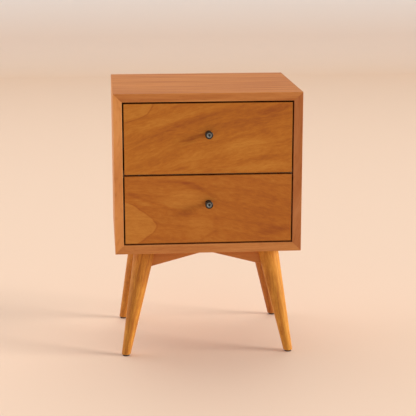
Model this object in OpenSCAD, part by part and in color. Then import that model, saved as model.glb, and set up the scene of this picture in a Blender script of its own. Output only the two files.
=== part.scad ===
// Nightstand with two drawers, on splayed round legs.
// Millimetres, +Z up. The origin is on the floor, in the middle of the whole
// nightstand seen from above, knobs included. The drawers face -Y.

/* [Case] */
// Width of the case
case_w = 457; // [420:1:520]
// Depth of the case from its front edge to its back
case_d = 381; // [370:1:430]
// Height of the case without the legs
case_h = 394; // [384:1:440]
// Thickness of the four case panels
panel_t = 21; // [18:0.5:25]
// How far the front edges of the panels slope back to the opening
front_bevel = 4; // [1:0.5:7]
// Thickness of the loose tongue in each mitred corner
spline_t = 4; // [3:0.5:5]
// Width of that tongue across the mitre
spline_w = 14; // [10:1:15]
// Distance from each end of a mitre to its tongue
spline_stop = 22; // [12:1:40]
// Thickness of the back panel
back_t = 6; // [4:0.5:9]
// Width of the rebate that holds the back panel
rebate_w = 9; // [7.5:0.5:11]

/* [Legs] */
// Height of the underside of the case above the floor
leg_h = 273; // [220:1:320]
// Radius of a leg at the case
leg_top_r = 26.8; // [24:0.2:29]
// Radius of a leg at its foot
leg_foot_r = 11; // [10:0.5:14]
// Distance from the sides, front and back of the case to a leg's centre line at the top
leg_top_inset = 75; // [70:1:80]
// Distance from the side of the case to the centre of a foot
foot_inset_x = 23; // [16:1:40]
// Distance from the front or back of the case to the centre of a foot
foot_inset_y = 37; // [28:1:50]
// Radius of the glide under a foot
glide_r = 8.5; // [6:0.5:10]
// Height of the glide
glide_t = 4; // [3:0.5:8]
// Radius of the nail that holds the glide
glide_nail_r = 1.5; // [1:0.1:2]
// Length of that nail in the leg
glide_nail_l = 16; // [10:1:25]

/* [Aprons] */
// Thickness of the four aprons
apron_t = 18; // [15:0.5:20]
// Distance from the outside of the case to the outer face of an apron
apron_inset = 72; // [69:1:76]
// Height of an apron at its ends
apron_end_h = 56.5; // [54:0.5:70]
// Height of an apron at its middle, before the crown of the arch is rounded
apron_mid_h = 15; // [14:0.5:28]
// Radius of the crown of the arch
apron_crown_r = 80; // [40:5:120]
// Length of a corner block along each apron
block_w = 60; // [50:1:75]
// Height of a corner block
block_h = 22; // [18:1:30]
// Space between a corner block and the leg beside it
block_relief = 1; // [0.5:0.5:3]

/* [Drawers] */
// Gap around each drawer front
front_gap = 3.5; // [2:0.25:5]
// Thickness of a drawer front
front_t = 19; // [16:0.5:22]
// Height of the upper drawer front
upper_front_h = 173; // [150:1:180]
// Thickness of the sides, front and back of a drawer box
box_t = 12; // [10.5:0.5:15]
// Length of a drawer box
box_l = 320; // [306:1:325]
// Height of a box above the lower edge of its drawer front
box_lift = 14; // [11:0.5:20]
// Distance from the top of a drawer front down to the top of its box
box_drop = 27; // [15:1:40]
// Thickness of a drawer bottom
bottom_t = 6; // [4:0.5:8]
// Height of a drawer bottom above the lower edge of its box
bottom_lift = 10; // [8:0.5:14]
// Depth of the grooves and housings in a box
groove_d = 6; // [4:0.5:7]
// Wood left behind the back of a box
back_setback = 8; // [5:0.5:15]

/* [Divider] */
// Thickness of the rail between the drawers
rail_t = 18; // [16:0.5:20]
// Depth of that rail from front to back
rail_d = 60; // [40:1:90]
// Radius of a bumper
bumper_r = 3.5; // [2.5:0.25:3.75]
// Thickness of a bumper
bumper_t = 1.5; // [1:0.25:3]
// Distance from the side of the opening to a bumper
bumper_inset = 40; // [20:1:80]

/* [Knobs] */
// Radius of the head of a knob
knob_head_r = 9.5; // [8.5:0.5:14]
// Radius of the neck
knob_neck_r = 5.5; // [4:0.25:6]
// Radius of the collar against the drawer front
knob_collar_r = 8.25; // [6:0.25:9]
// Thickness of the collar
knob_collar_t = 2; // [1:0.25:2.5]
// Distance from the drawer front to the rim of the head
knob_l = 22; // [19:0.5:28]
// Thickness of the head at its edge
knob_head_t = 5.5; // [4:0.5:7]
// Radius of the rounded rim of the head
knob_rim_r = 2; // [1:0.25:2.25]
// Width of the dish in the face of the head, as a share of the head
knob_dish_share = 0.66; // [0.6:0.02:0.76]
// Depth of the dish
knob_dish = 0.8; // [0.5:0.1:1.5]
// Radius of the cup in the middle of the dish
knob_cup_r = 3; // [2:0.25:3.5]
// Depth of the cup
knob_cup_depth = 1; // [0.5:0.25:1.5]
// Distance from the top of the upper drawer front down to its knob
upper_knob_drop = 75; // [60:0.5:90]
// Distance from the top of the lower drawer front down to its knob
lower_knob_drop = 69.5; // [60:0.5:90]

/* [Drawer slides] */
// Length of a slide
slide_l = 300; // [290:1:302]
// Height of the member on the cabinet
slide_h = 45; // [44:0.5:48]
// Width of a whole slide, from cabinet to drawer
slide_t = 12.7; // [12.5:0.1:14]
// Thickness of the steel
steel_t = 1.2; // [1.1:0.05:1.3]
// Space between the flanges that the balls run in
race_gap = 2.4; // [2.2:0.05:2.6]
// Radius of a ball
ball_r = 1.6; // [1.5:0.02:1.7]
// Distance from the cabinet to the centre of the balls
ball_x = 7.5; // [7:0.1:8]
// Thickness of a ball cage
cage_t = 0.4; // [0.3:0.05:0.5]
// Length of a ball cage
cage_l = 140; // [100:1:150]
// Width of a cage beyond its balls
cage_lip = 0.6; // [0.4:0.1:1]
// Balls in each row
row_balls = 4; // [2:1:6]
// Space between a cage and the members beside it
slide_play = 0.3; // [0.25:0.05:0.35]
// Distance from the front of a drawer box to its slides
slide_setback = 2; // [1:0.5:4]

/* [Fasteners] */
// Radius of the dowels between aprons and legs
dowel_r = 3; // [2.5:0.25:3.5]
// Length of those dowels
dowel_l = 30; // [24:1:32]
// Drop from the case to the first of those dowels
dowel_drop = 12; // [10:0.5:13]
// Drop from one dowel to the next, which belong to the two aprons by turns
dowel_pitch = 8.25; // [8:0.25:9]
// Radius of the dowels in the ends of the divider rail
rail_dowel_r = 4; // [3:0.25:5]
// Length of those dowels
rail_dowel_l = 30; // [24:1:40]
// Length of those dowels in a side panel
rail_dowel_in = 10; // [8:0.5:14]
// Distance from the front or back of the rail to a dowel
rail_dowel_inset = 15; // [10:1:18]
// Radius of the screws in the back panel
back_screw_r = 1.5; // [1.25:0.05:1.75]
// Length of the screws in the back panel
back_screw_l = 20; // [14:1:24]
// Distance from the corners of the back panel to its first screws
back_screw_inset = 45; // [30:1:70]
// Radius of the screws in the corner blocks
block_screw_r = 2.25; // [1.75:0.05:2.5]
// Length of the screws in the corner blocks
block_screw_l = 34; // [30:1:38]
// Distance from a block's faces on the aprons to its screws
block_screw_inset = 12; // [10:0.5:14]
// Radius of the screws that hold a drawer front to its box
front_screw_r = 2; // [1.75:0.05:2.5]
// Length of the screws that hold a drawer front to its box
front_screw_l = 26; // [20:1:28]
// Distance from the inner corners of a box to its front screws
front_screw_inset = 24; // [20:1:32]
// Radius of the screws in the slides
slide_screw_r = 1.75; // [1.5:0.05:2]
// Length of the screws in the slides
slide_screw_l = 11; // [8:0.5:11.5]
// Distance from the ends of a slide to its screws
slide_screw_inset = 32; // [20:1:60]
// Radius of the screw in a knob
knob_screw_r = 2; // [1.5:0.1:2.25]
// Length of the knob's thread on that screw
knob_thread_l = 9; // [6:0.5:10]
// Radius of that screw's head
knob_screw_head_r = 4; // [3.5:0.25:5]
// Thickness of that screw's head
knob_screw_head_t = 2.5; // [2:0.25:3.5]

/* [Fits] */
// Clearance around a screw, dowel, nail or ball
fit = 0.05; // [0.03:0.01:0.08]
// Clearance around a board in its groove, housing or rebate
board_fit = 0.25; // [0.1:0.05:0.4]
// Space left past the end of a screw or dowel
end_space = 0.5; // [0.25:0.25:1]

/* [Hidden] */
$fn = 48;

// Colours
veneer = [0.72, 0.45, 0.22];
rail_wood = [0.75, 0.48, 0.26];
leg_wood = [0.68, 0.42, 0.19];
box_wood = [0.82, 0.68, 0.48];
dark_metal = [0.30, 0.29, 0.29];
zinc = [0.72, 0.74, 0.76];
black_zinc = [0.36, 0.37, 0.38];
black_plastic = [0.10, 0.08, 0.07];
clear_rubber = [0.80, 0.80, 0.78];

// The case stands on the legs, with its front far enough back for the knobs
knob_reach = knob_l - front_bevel;
front_y = (knob_reach - case_d) / 2;
mid_y = front_y + case_d / 2;
rear_y = front_y + case_d;
case_top = leg_h + case_h;
mid_z = leg_h + case_h / 2;
open_w = case_w - 2 * panel_t;
open_h = case_h - 2 * panel_t;
floor_z = leg_h + panel_t;

// A tongue sits a little nearer the inside of its corner, where the mitre is deepest
spline_share = 0.6;
spline_in = spline_share * panel_t;
back_w = open_w + 2 * rebate_w - 2 * board_fit;
back_h = open_h + 2 * rebate_w - 2 * board_fit;

// Centre lines of the legs, from the middle of the case
leg_top_x = case_w / 2 - leg_top_inset;
leg_top_y = case_d / 2 - leg_top_inset;
foot_x = case_w / 2 - foot_inset_x;
foot_y = case_d / 2 - foot_inset_y;
leg_l = leg_h - glide_t;

// The same at some drop below the case
function leg_share(drop) = drop / leg_l;
function leg_x_at(drop) = leg_top_x + (foot_x - leg_top_x) * leg_share(drop);
function leg_y_at(drop) = leg_top_y + (foot_y - leg_top_y) * leg_share(drop);
function leg_r_at(drop) = leg_top_r + (leg_foot_r - leg_top_r) * leg_share(drop);

// Middle planes of the aprons, and the corner where their inner faces meet
apron_mid_x = case_w / 2 - apron_inset - apron_t / 2;
apron_mid_y = case_d / 2 - apron_inset - apron_t / 2;
inner_x = case_w / 2 - apron_inset - apron_t;
inner_y = case_d / 2 - apron_inset - apron_t;

// Drawer fronts are flush with the inner edge of the sloped front
face_y = front_y + front_bevel;
box_y = face_y + front_t;
front_w = open_w - 2 * front_gap;
lower_front_h = open_h - 3 * front_gap - upper_front_h;
lower_z = floor_z + front_gap;
upper_z = lower_z + lower_front_h + front_gap;
upper_knob_z = upper_z + upper_front_h - upper_knob_drop;
lower_knob_z = lower_z + lower_front_h - lower_knob_drop;
box_w = open_w - 2 * slide_t;
inside_w = box_w - 2 * box_t;
panel_in_w = inside_w + 2 * groove_d - 2 * board_fit;
box_back_y = box_y + box_l - back_setback - box_t;

// The divider rail lies behind the gap between the drawer fronts
rail_y = box_y + bumper_t;
rail_z = upper_z - front_gap / 2;

// Slides: the members nest in steps across the slide and up its height
slide_y = box_y + slide_setback;
nest_x = steel_t + cage_t + 2 * slide_play;
nest_z = steel_t + race_gap;
flange_end = slide_t - steel_t - slide_play;
row_pitch = cage_l / row_balls;

function box_h(front_h) = front_h - box_lift - box_drop;
function slide_z(z, front_h) = z + box_lift + box_h(front_h) / 2;
function member_top(step) = slide_h / 2 - step * nest_z;
function ball_z(step) = member_top(step) - steel_t - race_gap / 2;

// Cross slots: their length as a share of the head, width and depth as shares of the shank's radius
slot_share = 0.65;
slot_w_share = 0.35;
slot_d_share = 0.45;

// ---------------------------------------------------------------- helpers

// Extrudes an outline drawn in X and Z, from y = 0 backwards
module along_y(length) {
    translate([0, length, 0])
        rotate([90, 0, 0])
            linear_extrude(length)
                children();
}

// Extrudes an outline drawn in Y and Z, to both sides of x = 0
module along_x(length) {
    translate([-length / 2, 0, 0])
        rotate([90, 0, 90])
            linear_extrude(length)
                children();
}

// A box centred in X, with its near lower edge at y and z
module board(w, d, h, y, z) {
    translate([-w / 2, y, z])
        cube([w, d, h]);
}

module both_sides() {
    children();
    mirror([1, 0, 0])
        children();
}

// Front and rear, about the middle of the case
module front_and_rear() {
    translate([0, mid_y, 0]) {
        children();
        mirror([0, 1, 0])
            children();
    }
}

module four_corners() {
    front_and_rear()
        both_sides()
            children();
}

// A countersunk screw, head up and flush with z = 0
module screw(length, r, head_r) {
    slot_l = slot_share * 2 * head_r;
    slot_w = slot_w_share * r;
    slot_d = slot_d_share * r;
    difference() {
        rotate_extrude()
            polygon([
                [0, 0],
                [head_r, 0],
                [r, r - head_r],
                [r, r - length],
                [0, -length]
            ]);
        cube([slot_l, slot_w, 2 * slot_d], center = true);
        cube([slot_w, slot_l, 2 * slot_d], center = true);
    }
}

// The hole for that screw, open upwards
module screw_hole(length, r, head_r) {
    rotate_extrude()
        polygon([
            [0, 1],
            [head_r + fit, 1],
            [head_r + fit, 0],
            [r + fit, r - head_r],
            [r + fit, -length - end_space],
            [0, -length - end_space]
        ]);
}

function wood_head(r) = 2 * r;

// ---------------------------------------------------------------- case

// A panel with its outer face up at z = 0, its front edge at y = 0 and mitred ends
module mitred_panel(length) {
    end = length / 2;
    difference() {
        along_y(case_d)
            polygon([
                [-end, 0],
                [end, 0],
                [end - panel_t, -panel_t],
                [panel_t - end, -panel_t]
            ]);
        along_x(length + 2)
            polygon([
                [-1, panel_t / front_bevel],
                [front_bevel + front_bevel / panel_t, -panel_t - 1],
                [-1, -panel_t - 1]
            ]);
        translate([-end - 1, case_d - back_t, -panel_t - 1])
            cube([length + 2, back_t + 1, rebate_w + 1]);
    }
}

// The four loose tongues, square to the mitres
module tongues(grow) {
    length = case_d - 2 * spline_stop;
    for (side = [-1, 1], end = [-1, 1])
        translate([
            side * (case_w / 2 - spline_in),
            mid_y,
            mid_z + end * (case_h / 2 - spline_in)
        ])
            rotate([0, 45 * side * end, 0])
                cube([spline_w + 2 * grow, length + 2 * grow, spline_t + 2 * grow], center = true);
}

// Head of each screw in the back panel, facing backwards
module at_back_screws() {
    across = back_w / 2 - rebate_w / 2;
    up = back_h / 2 - rebate_w / 2;
    for (x = [-1, 0, 1], end = [-1, 1])
        translate([x * (back_w / 2 - back_screw_inset), rear_y, mid_z + end * up])
            rotate([-90, 0, 0])
                children();
    for (side = [-1, 1], end = [-1, 1])
        translate([side * across, rear_y, mid_z + end * (back_h / 2 - 2 * back_screw_inset)])
            rotate([-90, 0, 0])
                children();
}

module back_screw_holes() {
    at_back_screws()
        screw_hole(back_screw_l, back_screw_r, wood_head(back_screw_r));
}

// Dowels in the ends of the divider rail
module rail_dowel_rods(grow, ends) {
    length = rail_dowel_l + 2 * ends;
    for (y = [rail_y + rail_dowel_inset, rail_y + rail_d - rail_dowel_inset])
        both_sides()
            translate([open_w / 2 + rail_dowel_in - rail_dowel_l / 2, y, rail_z])
                rotate([0, 90, 0])
                    cylinder(h = length, r = rail_dowel_r + grow, center = true);
}

module flat_panel() {
    translate([0, front_y, case_top])
        mitred_panel(case_w);
}

module top_panel() {
    color(veneer)
        difference() {
            flat_panel();
            tongues(fit);
            back_screw_holes();
        }
}

module bottom_panel() {
    color(veneer)
        difference() {
            translate([0, 0, 2 * mid_z])
                mirror([0, 0, 1])
                    flat_panel();
            tongues(fit);
            back_screw_holes();
            block_screw_holes();
        }
}

module left_side_panel() {
    color(veneer)
        difference() {
            translate([-case_w / 2, front_y, mid_z])
                rotate([0, -90, 0])
                    mitred_panel(case_h);
            tongues(fit);
            back_screw_holes();
            rail_dowel_rods(fit, end_space);
            at_cabinet_screws()
                slide_screw_hole();
        }
}

module right_side_panel() {
    mirror([1, 0, 0])
        left_side_panel();
}

module back_panel() {
    color(veneer)
        difference() {
            board(back_w, back_t, back_h, rear_y - back_t, mid_z - back_h / 2);
            back_screw_holes();
        }
}

module mitre_splines() {
    color(box_wood)
        tongues(0);
}

module divider_rail() {
    color(box_wood)
        difference() {
            board(open_w, rail_d, rail_t, rail_y, rail_z - rail_t / 2);
            rail_dowel_rods(fit, end_space);
        }
}

module rail_dowels() {
    color(box_wood)
        rail_dowel_rods(0, 0);
}

// Each drawer front closes against two bumpers on the edge of the rail
module drawer_bumpers() {
    color(clear_rubber)
        both_sides()
            for (end = [-1, 1])
                translate([open_w / 2 - bumper_inset, rail_y, rail_z + end * (front_gap / 2 + bumper_r)])
                    rotate([90, 0, 0])
                        cylinder(h = bumper_t, r = bumper_r);
}

module back_screws() {
    color(zinc)
        at_back_screws()
            screw(back_screw_l, back_screw_r, wood_head(back_screw_r));
}

// ---------------------------------------------------------------- legs and aprons

// A leg's cone, longer than the leg at both ends, in the corner of +X and +Y
module leg_cone(grow) {
    foot = [foot_x, foot_y, glide_t];
    top = [leg_top_x, leg_top_y, leg_h];
    way = top - foot;
    spare = 0.2;
    widening = leg_top_r - leg_foot_r;
    length = norm(way);
    translate(foot - spare * way)
        rotate([0, -acos(way.z / length), atan2(-way.y, -way.x)])
            cylinder(
                h = (1 + 2 * spare) * length,
                r1 = leg_foot_r - spare * widening + grow,
                r2 = leg_top_r + spare * widening + grow,
                $fn = 96
            );
}

// The same leg, cut level at the glide and at the case
module corner_leg() {
    reach = 2 * leg_top_r;
    difference() {
        intersection() {
            leg_cone(0);
            translate([leg_top_x - reach, leg_top_y - reach, glide_t])
                cube([foot_x - leg_top_x + 2 * reach, foot_y - leg_top_y + 2 * reach, leg_l]);
        }
        long_apron_dowels(fit, end_space);
        side_apron_dowels(fit, end_space);
        translate([foot_x, foot_y, glide_t - 1])
            cylinder(h = glide_nail_l + 1 + end_space, r = glide_nail_r + fit);
    }
}

// A leg at one corner: side is -1 on the left, end is -1 at the front
module leg_at(side, end) {
    color(leg_wood)
        translate([0, mid_y, 0])
            mirror([side < 0 ? 1 : 0, 0, 0])
                mirror([0, end < 0 ? 1 : 0, 0])
                    corner_leg();
}

module front_left_leg() {
    leg_at(-1, -1);
}

module front_right_leg() {
    leg_at(1, -1);
}

module rear_left_leg() {
    leg_at(-1, 1);
}

module rear_right_leg() {
    leg_at(1, 1);
}

module glides() {
    color(black_plastic)
        four_corners()
            translate([foot_x, foot_y, 0]) {
                cylinder(h = glide_t, r = glide_r);
                cylinder(h = glide_t + glide_nail_l, r = glide_nail_r);
            }
}

// Two straight slopes that meet in a rounded crown, hanging from z = 0
module apron_outline(half) {
    slope = atan((apron_end_h - apron_mid_h) / half);
    touch_x = apron_crown_r * sin(slope);
    touch_z = -apron_mid_h - touch_x * tan(slope);
    difference() {
        polygon([
            [-half, 0],
            [half, 0],
            [half, -apron_end_h],
            [touch_x, touch_z],
            [-touch_x, touch_z],
            [-half, -apron_end_h]
        ]);
        translate([0, -apron_mid_h - apron_crown_r / cos(slope)])
            circle(r = apron_crown_r, $fn = 180);
    }
}

// An apron with its outer face at y = 0 and its ends mitred behind the legs
module apron(half) {
    intersection() {
        along_y(apron_t)
            apron_outline(half);
        translate([0, 0, -apron_end_h - 1])
            linear_extrude(apron_end_h + 2)
                polygon([
                    [-half, 0],
                    [half, 0],
                    [half - apron_t, apron_t],
                    [apron_t - half, apron_t]
                ]);
    }
}

// Dowels from the front or rear apron into a leg, in the corner of +X and +Y
module long_apron_dowels(grow, ends) {
    for (drop = [dowel_drop, dowel_drop + 2 * dowel_pitch])
        translate([leg_x_at(drop) - leg_r_at(drop), apron_mid_y, leg_h - drop])
            rotate([0, 90, 0])
                cylinder(h = dowel_l + 2 * ends, r = dowel_r + grow, center = true);
}

// Dowels from a side apron into a leg, half a step lower
module side_apron_dowels(grow, ends) {
    for (drop = [dowel_drop + dowel_pitch, dowel_drop + 3 * dowel_pitch])
        translate([apron_mid_x, leg_y_at(drop) - leg_r_at(drop), leg_h - drop])
            rotate([90, 0, 0])
                cylinder(h = dowel_l + 2 * ends, r = dowel_r + grow, center = true);
}

module rear_apron() {
    color(rail_wood)
        translate([0, mid_y, 0])
            difference() {
                translate([0, case_d / 2 - apron_inset, leg_h])
                    rotate([0, 0, 180])
                        apron(case_w / 2 - apron_inset);
                both_sides() {
                    leg_cone(fit);
                    long_apron_dowels(fit, end_space);
                }
            }
}

module front_apron() {
    translate([0, 2 * mid_y, 0])
        mirror([0, 1, 0])
            rear_apron();
}

module right_apron() {
    color(rail_wood)
        translate([0, mid_y, 0])
            difference() {
                translate([case_w / 2 - apron_inset, 0, leg_h])
                    rotate([0, 0, 90])
                        apron(case_d / 2 - apron_inset);
                for (end = [0, 1])
                    mirror([0, end, 0]) {
                        leg_cone(fit);
                        side_apron_dowels(fit, end_space);
                    }
            }
}

module left_apron() {
    mirror([1, 0, 0])
        right_apron();
}

module apron_dowels() {
    color(box_wood)
        four_corners() {
            long_apron_dowels(0, 0);
            side_apron_dowels(0, 0);
        }
}

// Two screws per block, heads down, one near each apron
module at_block_screws() {
    along = block_w / 2;
    for (place = [[along, block_screw_inset], [block_screw_inset, along]])
        translate([inner_x - place.x, inner_y - place.y, leg_h - block_h])
            rotate([180, 0, 0])
                children();
}

module block_screw_holes() {
    four_corners()
        at_block_screws()
            screw_hole(block_screw_l, block_screw_r, wood_head(block_screw_r));
}

module corner_blocks() {
    color(box_wood)
        difference() {
            four_corners()
                difference() {
                    translate([0, 0, leg_h - block_h])
                        linear_extrude(block_h)
                            polygon([
                                [inner_x, inner_y],
                                [inner_x - block_w, inner_y],
                                [inner_x, inner_y - block_w]
                            ]);
                    leg_cone(block_relief);
                }
            block_screw_holes();
        }
}

module block_screws() {
    color(zinc)
        four_corners()
            at_block_screws()
                screw(block_screw_l, block_screw_r, wood_head(block_screw_r));
}

// ---------------------------------------------------------------- drawer slides

// Outlines in X from the left side panel and Z from the middle of the slide.
// A member has a web and two flanges with a groove for each row of balls.
module channel(web_x, from_x, to_x, top) {
    translate([web_x, -top])
        square([steel_t, 2 * top]);
    for (end = [-1, 1])
        translate([from_x, end > 0 ? top - steel_t : -top])
            square([to_x - from_x, steel_t]);
}

module ball_grooves(step) {
    for (end = [-1, 1])
        translate([ball_x, end * ball_z(step)])
            circle(r = ball_r + fit, $fn = 32);
}

module cabinet_outline() {
    difference() {
        channel(0, 0, flange_end, member_top(0));
        ball_grooves(0);
    }
}

module middle_outline() {
    difference() {
        channel(nest_x, nest_x, flange_end, member_top(1));
        ball_grooves(0);
        ball_grooves(1);
    }
}

module drawer_outline() {
    difference() {
        channel(slide_t - steel_t, 2 * nest_x, slide_t, member_top(2));
        ball_grooves(1);
    }
}

// A left-hand member of the drawer at z
module left_member(z, front_h) {
    translate([-open_w / 2, slide_y, slide_z(z, front_h)])
        along_y(slide_l)
            children();
}

// A left-hand cage with its balls, between two nested members
module left_cage(z, front_h, step) {
    web_x = (step + 1) * nest_x - slide_play - cage_t;
    row_z = ball_z(step);
    cage_w = ball_x + ball_r + cage_lip - web_x;
    translate([-open_w / 2, slide_y + (slide_l - cage_l) / 2, slide_z(z, front_h)]) {
        difference() {
            union() {
                translate([web_x, 0, -row_z])
                    cube([cage_t, cage_l, 2 * row_z]);
                for (end = [-1, 1])
                    translate([web_x, 0, end * row_z - cage_t / 2])
                        cube([cage_w, cage_l, cage_t]);
            }
            for (i = [0 : row_balls - 1], end = [-1, 1])
                translate([ball_x, (i + 0.5) * row_pitch, end * row_z])
                    cylinder(h = 2 * cage_t, r = ball_r + fit, center = true);
        }
        for (i = [0 : row_balls - 1], end = [-1, 1])
            translate([ball_x, (i + 0.5) * row_pitch, end * row_z])
                sphere(r = ball_r);
    }
}

module slide_screw() {
    screw(slide_screw_l, slide_screw_r, slide_screw_r + steel_t);
}

module slide_screw_hole() {
    screw_hole(slide_screw_l, slide_screw_r, slide_screw_r + steel_t);
}

module at_screws_of(z, front_h, x) {
    for (y = [slide_screw_inset, slide_l - slide_screw_inset])
        translate([x - open_w / 2, slide_y + y, slide_z(z, front_h)])
            children();
}

// Heads of the left-hand screws into the side panel
module at_cabinet_screws() {
    for (drawer = [[upper_z, upper_front_h], [lower_z, lower_front_h]])
        at_screws_of(drawer[0], drawer[1], steel_t)
            rotate([0, 90, 0])
                children();
}

// Heads of the left-hand screws into the side of a drawer box
module at_drawer_screws(z, front_h) {
    at_screws_of(z, front_h, slide_t - steel_t)
        rotate([0, -90, 0])
            children();
}

module cabinet_member(z, front_h) {
    color(black_zinc)
        difference() {
            left_member(z, front_h)
                cabinet_outline();
            at_cabinet_screws()
                slide_screw_hole();
        }
}

module middle_member(z, front_h) {
    color(black_zinc)
        left_member(z, front_h)
            middle_outline();
}

module drawer_member(z, front_h) {
    color(black_zinc)
        difference() {
            left_member(z, front_h)
                drawer_outline();
            at_drawer_screws(z, front_h)
                slide_screw_hole();
        }
}

module ball_cages(z, front_h, step) {
    color(black_zinc)
        both_sides()
            left_cage(z, front_h, step);
}

module upper_left_cabinet_member() {
    cabinet_member(upper_z, upper_front_h);
}

module upper_right_cabinet_member() {
    mirror([1, 0, 0])
        cabinet_member(upper_z, upper_front_h);
}

module lower_left_cabinet_member() {
    cabinet_member(lower_z, lower_front_h);
}

module lower_right_cabinet_member() {
    mirror([1, 0, 0])
        cabinet_member(lower_z, lower_front_h);
}

module cabinet_slide_screws() {
    color(zinc)
        both_sides()
            at_cabinet_screws()
                slide_screw();
}

module upper_left_middle_member() {
    middle_member(upper_z, upper_front_h);
}

module upper_right_middle_member() {
    mirror([1, 0, 0])
        middle_member(upper_z, upper_front_h);
}

module lower_left_middle_member() {
    middle_member(lower_z, lower_front_h);
}

module lower_right_middle_member() {
    mirror([1, 0, 0])
        middle_member(lower_z, lower_front_h);
}

module upper_outer_ball_cages() {
    ball_cages(upper_z, upper_front_h, 0);
}

module upper_inner_ball_cages() {
    ball_cages(upper_z, upper_front_h, 1);
}

module lower_outer_ball_cages() {
    ball_cages(lower_z, lower_front_h, 0);
}

module lower_inner_ball_cages() {
    ball_cages(lower_z, lower_front_h, 1);
}

// ---------------------------------------------------------------- drawers

// Screws from inside a box into its drawer front, heads facing backwards
module at_front_screws(z, front_h) {
    middle = slide_z(z, front_h);
    up = box_h(front_h) / 2 - front_screw_inset;
    for (side = [-1, 1], end = [-1, 1])
        translate([side * (inside_w / 2 - front_screw_inset), box_y + box_t, middle + end * up])
            rotate([-90, 0, 0])
                children();
}

module front_screw_holes(z, front_h) {
    at_front_screws(z, front_h)
        screw_hole(front_screw_l, front_screw_r, wood_head(front_screw_r));
}

// The hole through the box front and the drawer front for the knob's screw
module knob_hole(knob_z) {
    translate([0, box_y + box_t + 1, knob_z])
        rotate([90, 0, 0])
            cylinder(h = box_t + front_t + 2, r = knob_screw_r + fit);
}

module drawer_front(z, front_h, knob_z) {
    color(veneer)
        difference() {
            board(front_w, front_t, front_h, face_y, z);
            front_screw_holes(z, front_h);
            knob_hole(knob_z);
        }
}

// The space that the bottom takes in the grooves of the box
module bottom_groove(z, front_h) {
    depth = box_back_y + groove_d - (box_y + box_t - groove_d);
    board(
        inside_w + 2 * groove_d,
        depth,
        bottom_t + 2 * board_fit,
        box_y + box_t - groove_d,
        z + box_lift + bottom_lift - board_fit
    );
}

module box_front(z, front_h, knob_z) {
    color(box_wood)
        difference() {
            board(panel_in_w, box_t, box_h(front_h), box_y, z + box_lift);
            bottom_groove(z, front_h);
            front_screw_holes(z, front_h);
            knob_hole(knob_z);
        }
}

module box_back(z, front_h) {
    color(box_wood)
        difference() {
            board(panel_in_w, box_t, box_h(front_h), box_back_y, z + box_lift);
            bottom_groove(z, front_h);
        }
}

module box_left_side(z, front_h) {
    housing_w = inside_w + 2 * groove_d;
    color(box_wood)
        difference() {
            translate([-box_w / 2, box_y, z + box_lift])
                cube([box_t, box_l, box_h(front_h)]);
            board(housing_w, box_t + board_fit + 1, box_h(front_h) + 2, box_y - 1, z + box_lift - 1);
            board(
                housing_w,
                box_t + 2 * board_fit,
                box_h(front_h) + 2,
                box_back_y - board_fit,
                z + box_lift - 1
            );
            bottom_groove(z, front_h);
            at_drawer_screws(z, front_h)
                slide_screw_hole();
        }
}

module box_right_side(z, front_h) {
    mirror([1, 0, 0])
        box_left_side(z, front_h);
}

module box_bottom(z, front_h) {
    depth = box_back_y - box_y - box_t + 2 * groove_d - 2 * board_fit;
    color(box_wood)
        board(
            panel_in_w,
            depth,
            bottom_t,
            box_y + box_t - groove_d + board_fit,
            z + box_lift + bottom_lift
        );
}

// Half outline of a knob: radius against distance from the drawer front
neck_l = knob_l - knob_head_t - (knob_head_r - knob_neck_r);
curve_steps = 6;
function neck_curve() = [
    for (i = [0 : curve_steps])
        let (turn = 90 * i / curve_steps)
        [
            knob_head_r - (knob_head_r - knob_neck_r) * cos(turn),
            neck_l + (knob_head_r - knob_neck_r) * sin(turn)
        ]
];
function rim_curve() = [
    for (i = [0 : curve_steps])
        let (turn = 90 * i / curve_steps)
        [knob_head_r - knob_rim_r * (1 - cos(turn)), knob_l - knob_rim_r * (1 - sin(turn))]
];
function dish_curve() = [
    [knob_dish_share * knob_head_r, knob_l],
    [knob_cup_r, knob_l - knob_dish],
    [knob_cup_r, knob_l - knob_dish - knob_cup_depth],
    [0, knob_l - knob_dish - knob_cup_depth]
];

module knob(knob_z) {
    color(dark_metal)
        translate([0, face_y, knob_z])
            rotate([90, 0, 0])
                difference() {
                    rotate_extrude()
                        polygon(concat(
                            [
                                [0, 0],
                                [knob_collar_r, 0],
                                [knob_collar_r, knob_collar_t],
                                [knob_neck_r, knob_collar_t]
                            ],
                            neck_curve(),
                            rim_curve(),
                            dish_curve()
                        ));
                    translate([0, 0, -1])
                        cylinder(h = knob_thread_l + end_space + 1, r = knob_screw_r + fit);
                }
}

module knob_screw(knob_z) {
    color(zinc)
        translate([0, box_y + box_t, knob_z])
            rotate([90, 0, 0]) {
                cylinder(h = box_t + front_t + knob_thread_l, r = knob_screw_r);
                translate([0, 0, -knob_screw_head_t])
                    cylinder(h = knob_screw_head_t, r = knob_screw_head_r);
            }
}

module front_screws(z, front_h) {
    color(zinc)
        at_front_screws(z, front_h)
            screw(front_screw_l, front_screw_r, wood_head(front_screw_r));
}

module drawer_slide_screws(z, front_h) {
    color(zinc)
        both_sides()
            at_drawer_screws(z, front_h)
                slide_screw();
}

module upper_drawer_front() {
    drawer_front(upper_z, upper_front_h, upper_knob_z);
}

module upper_box_front() {
    box_front(upper_z, upper_front_h, upper_knob_z);
}

module upper_box_left_side() {
    box_left_side(upper_z, upper_front_h);
}

module upper_box_right_side() {
    box_right_side(upper_z, upper_front_h);
}

module upper_box_back() {
    box_back(upper_z, upper_front_h);
}

module upper_box_bottom() {
    box_bottom(upper_z, upper_front_h);
}

module upper_knob() {
    knob(upper_knob_z);
}

module upper_knob_screw() {
    knob_screw(upper_knob_z);
}

module upper_front_screws() {
    front_screws(upper_z, upper_front_h);
}

module upper_left_drawer_member() {
    drawer_member(upper_z, upper_front_h);
}

module upper_right_drawer_member() {
    mirror([1, 0, 0])
        drawer_member(upper_z, upper_front_h);
}

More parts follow.
